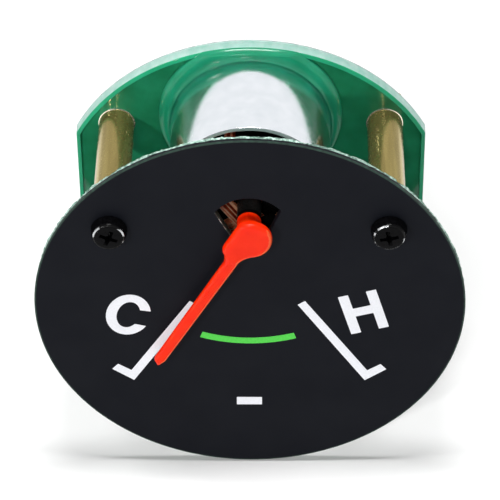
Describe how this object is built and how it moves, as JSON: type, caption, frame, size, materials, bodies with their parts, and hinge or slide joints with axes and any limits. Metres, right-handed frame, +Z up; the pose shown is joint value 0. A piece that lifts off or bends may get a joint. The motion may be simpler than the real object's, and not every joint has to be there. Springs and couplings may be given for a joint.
{
  "type": "water temperature gauge",
  "caption": "Open dial water temperature gauge: round black dial, red pointer and moving-magnet movement in a steel can on a green base with rear studs and blades.",
  "frame": {"origin": "on the pointer's axis, midway between the two rear studs, in the plane of the rear nuts' outer faces", "axes": "+X right as the dial is read, +Y from the dial towards the back and along the studs, +Z up"},
  "size_m": [0.06, 0.0362, 0.06],
  "materials": {
    "dial_black": "satin black paint on a steel plate",
    "screw_black": "blackened steel",
    "pointer_red": "moulded red-orange plastic, satin",
    "bright_steel": "ground or zinc plated steel",
    "can_zinc": "bright zinc plated, deep drawn steel",
    "ferrite": "sintered ferrite, matte",
    "turned_brass": "turned brass, slightly dull",
    "bobbin_black": "moulded black nylon",
    "copper_wire": "enamelled copper wire",
    "fibre": "vulcanised fibre",
    "base_green": "glossy translucent green plastic",
    "terminal_brass": "stamped brass strip",
    "resistor_buff": "matte enamelled ceramic",
    "tinned_wire": "tinned wire"
  },
  "bodies": {
    "frame": {"dial_plate": "dial_black", "dial_screws": "screw_black", "front_bush": "turned_brass", "rear_bush": "turned_brass", "bobbin_front": "bobbin_black", "bobbin_rear": "bobbin_black", "coil_inner": "copper_wire", "coil_outer": "copper_wire", "return_magnet": "ferrite", "fibre_disc": "fibre", "shield_can": "can_zinc", "base_moulding": "base_green", "post_left": "turned_brass", "post_right": "turned_brass", "post_washers": "bright_steel", "post_nuts": "turned_brass", "can_screws": "bright_steel", "tag_pins": "terminal_brass", "terminal_supply": "terminal_brass", "terminal_sender": "terminal_brass", "terminal_earth": "terminal_brass", "terminal_rivets": "terminal_brass", "resistor_body": "resistor_buff", "resistor_leads": "tinned_wire"},
    "pointer_shaft": {"pointer": "pointer_red", "spindle": "bright_steel", "rotor_magnet": "ferrite"}
  },
  "joints": [
    {"name": "pointer_swing", "type": "hinge", "parent": "frame", "child": "pointer_shaft", "pos_m": [0, 0, 0], "axis": [0, -1, 0], "range_deg": [0, 58.8], "stiffness_Nm_per_rad": 0.00005, "springref_deg": -57.3}
  ]
}
